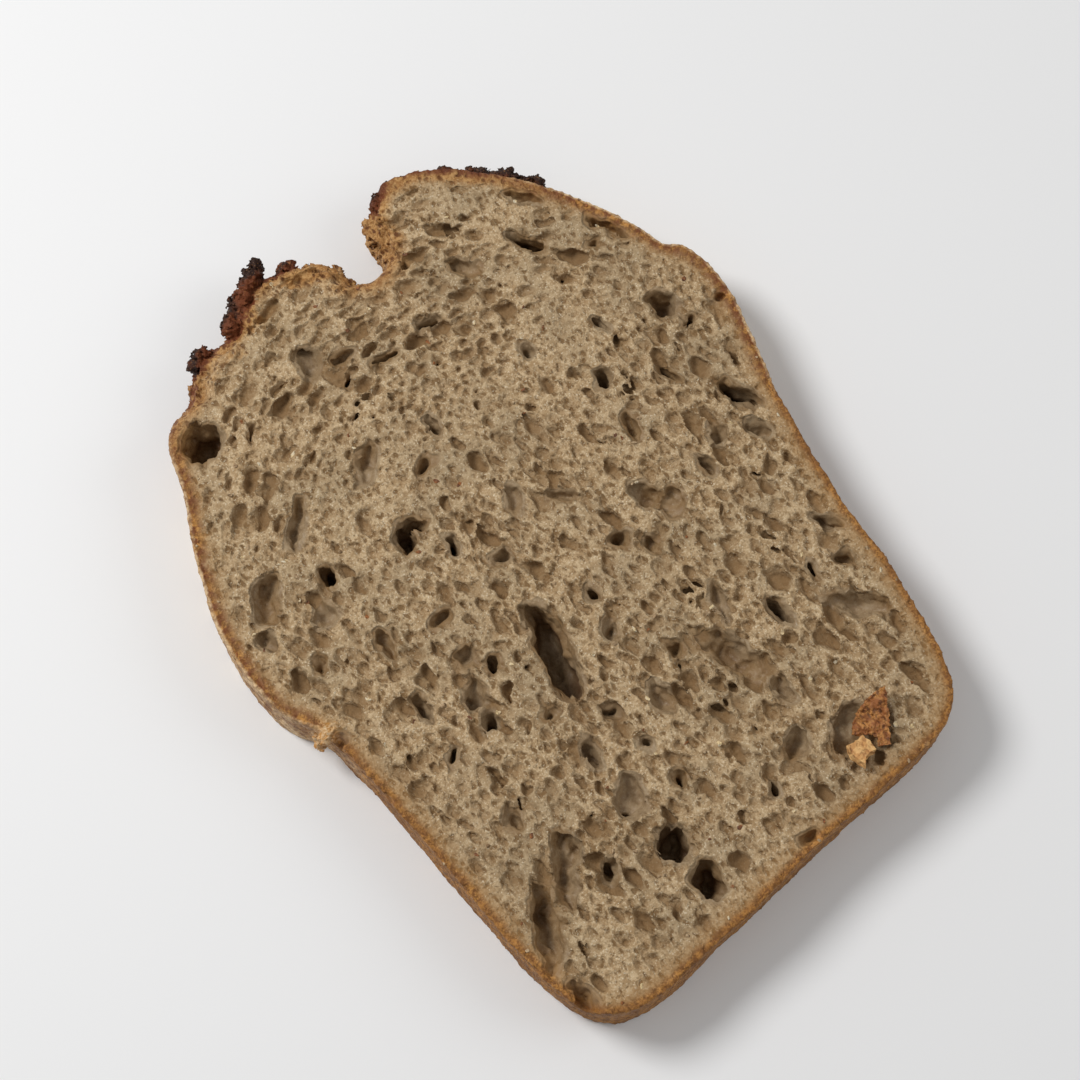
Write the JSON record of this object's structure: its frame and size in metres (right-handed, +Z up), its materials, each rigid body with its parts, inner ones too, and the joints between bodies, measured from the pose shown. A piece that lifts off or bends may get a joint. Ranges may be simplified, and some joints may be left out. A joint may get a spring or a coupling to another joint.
{
  "type": "slice of rye bread",
  "caption": "Slice of rye bread cut from a tin loaf, lying flat, with an open crumb, a thin browned crust and a torn, burnt dome at the top end.",
  "frame": {"origin": "middle of the bounding box, on the surface the slice lies on", "axes": "+Z up out of the shown cut face, +Y from the loaf's base to its domed top, +X to the right of the shown face"},
  "size_m": [0.1046, 0.1406, 0.0125],
  "materials": {
    "bread": "matte open rye crumb, greyish tan, with a thin golden brown crust around its edge"
  },
  "bodies": {
    "root": {"slice": "bread"}
  },
  "joints": []
}
